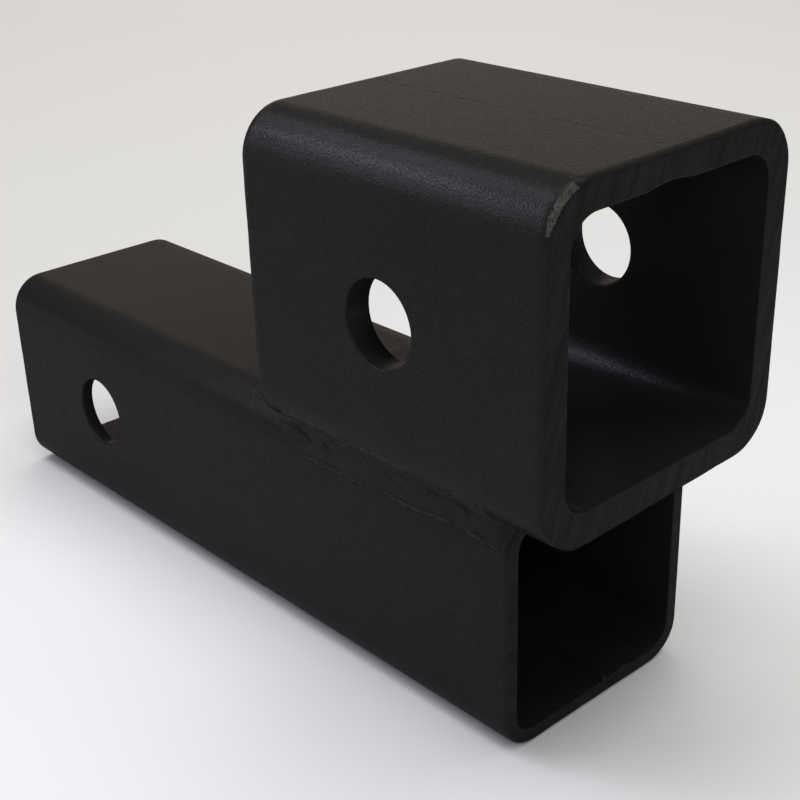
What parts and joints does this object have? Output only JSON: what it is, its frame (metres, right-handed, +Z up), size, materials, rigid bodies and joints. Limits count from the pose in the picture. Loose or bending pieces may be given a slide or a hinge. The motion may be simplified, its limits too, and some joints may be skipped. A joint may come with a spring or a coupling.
{
  "type": "hitch receiver extender",
  "caption": "Short square receiver tube welded on top of a longer square shank tube, both open-ended and cross-drilled for hitch pins, to extend and raise a vehicle's hitch receiver.",
  "frame": {"origin": "middle of the whole part's footprint, on the shank's bottom face", "axes": "+X along both tubes towards the receiver's mouth, +Y across them towards the far side, +Z up from the shank to the receiver"},
  "size_m": [0.1858, 0.0636, 0.1143],
  "materials": {
    "shank_coat": "fine-textured black powder coat on steel tube",
    "receiver_coat": "fine-textured black powder coat on steel tube",
    "weld_coat": "black powder coat over a rippled weld bead"
  },
  "bodies": {
    "root": {"shank_tube": "shank_coat", "receiver_tube": "receiver_coat", "near_side_weld": "weld_coat", "far_side_weld": "weld_coat"}
  },
  "joints": []
}
